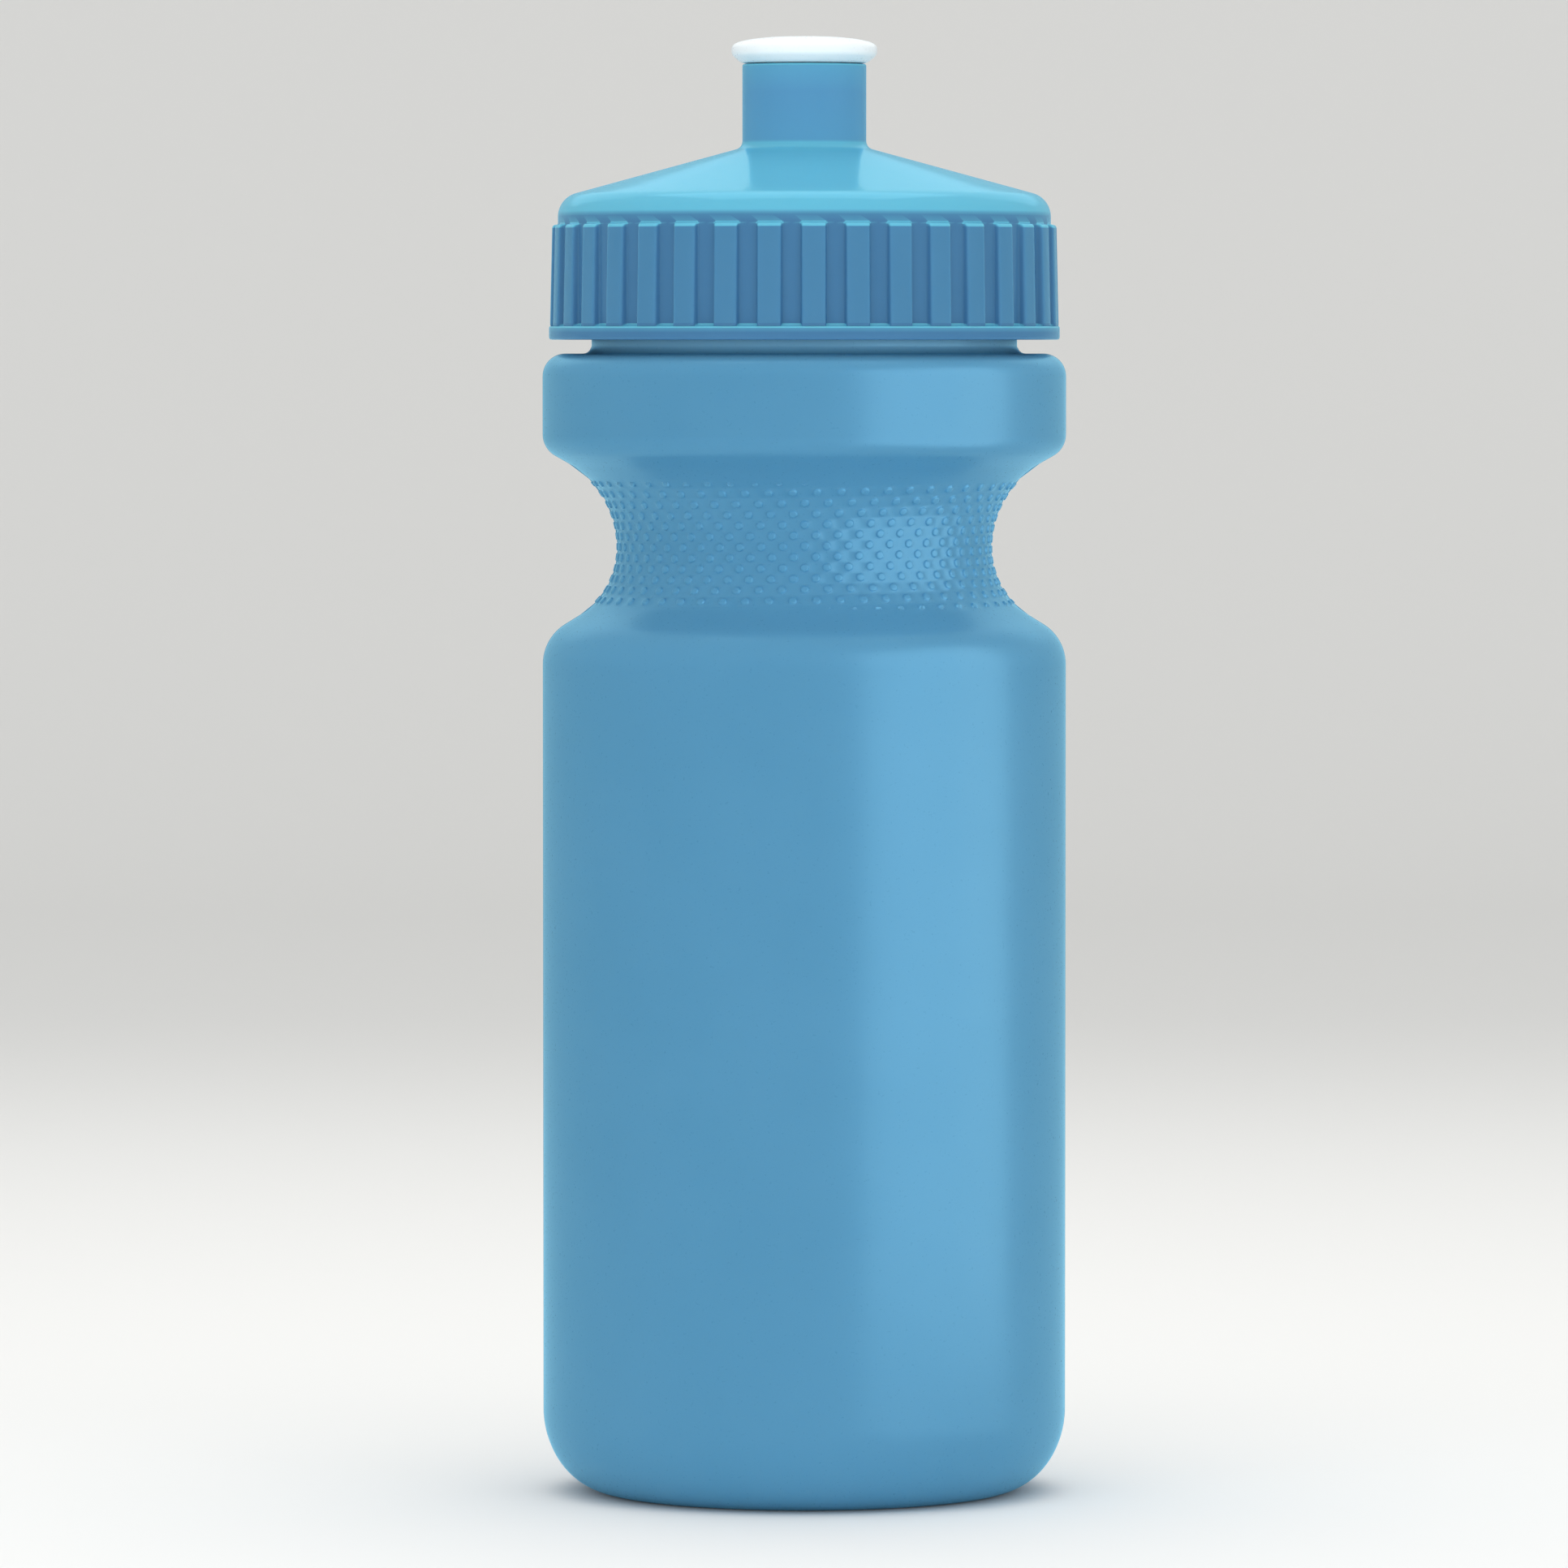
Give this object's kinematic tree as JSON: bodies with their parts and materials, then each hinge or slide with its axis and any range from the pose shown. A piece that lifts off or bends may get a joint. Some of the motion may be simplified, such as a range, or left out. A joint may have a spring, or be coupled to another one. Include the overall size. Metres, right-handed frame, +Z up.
{
  "type": "squeeze bottle",
  "caption": "Round sports squeeze bottle with a waisted, dotted grip, a ribbed screw lid and a push-pull spout on a chimney.",
  "frame": {"origin": "centre of the standing ring, on the surface that the bottle stands on", "axes": "+Z up along the bottle's axis, from the base to the spout; the bottle is round, so +X and +Y are free"},
  "size_m": [0.073, 0.073, 0.2033],
  "materials": {
    "bottle_ldpe": "satin, slightly translucent light blue LDPE",
    "gasket": "soft white sealing ring",
    "lid_plastic": "glossy injection-moulded blue",
    "spout_plastic": "smooth white, softly glossy"
  },
  "bodies": {
    "bottle": {"squeeze_bottle": "bottle_ldpe"},
    "seal": {"lid_gasket": "gasket"},
    "lid": {"screw_lid": "lid_plastic"},
    "spout": {"push_pull_spout": "spout_plastic"}
  },
  "joints": [
    {"name": "lid_lift", "type": "slide", "parent": "bottle", "child": "seal", "axis": [0, 0, 1], "range_m": [0, 0.02]},
    {"name": "lid_turn", "type": "hinge", "parent": "seal", "child": "lid", "pos_m": [0, 0, 0.17], "axis": [0, 0, 1], "range_deg": [0, 1440]},
    {"name": "spout_pull", "type": "slide", "parent": "lid", "child": "spout", "axis": [0, 0, 1], "range_m": [0, 0.006]}
  ],
  "couplings": [
    {"joint": "lid_lift", "follows": "lid_turn", "m_per_rad": 0.00079577}
  ]
}
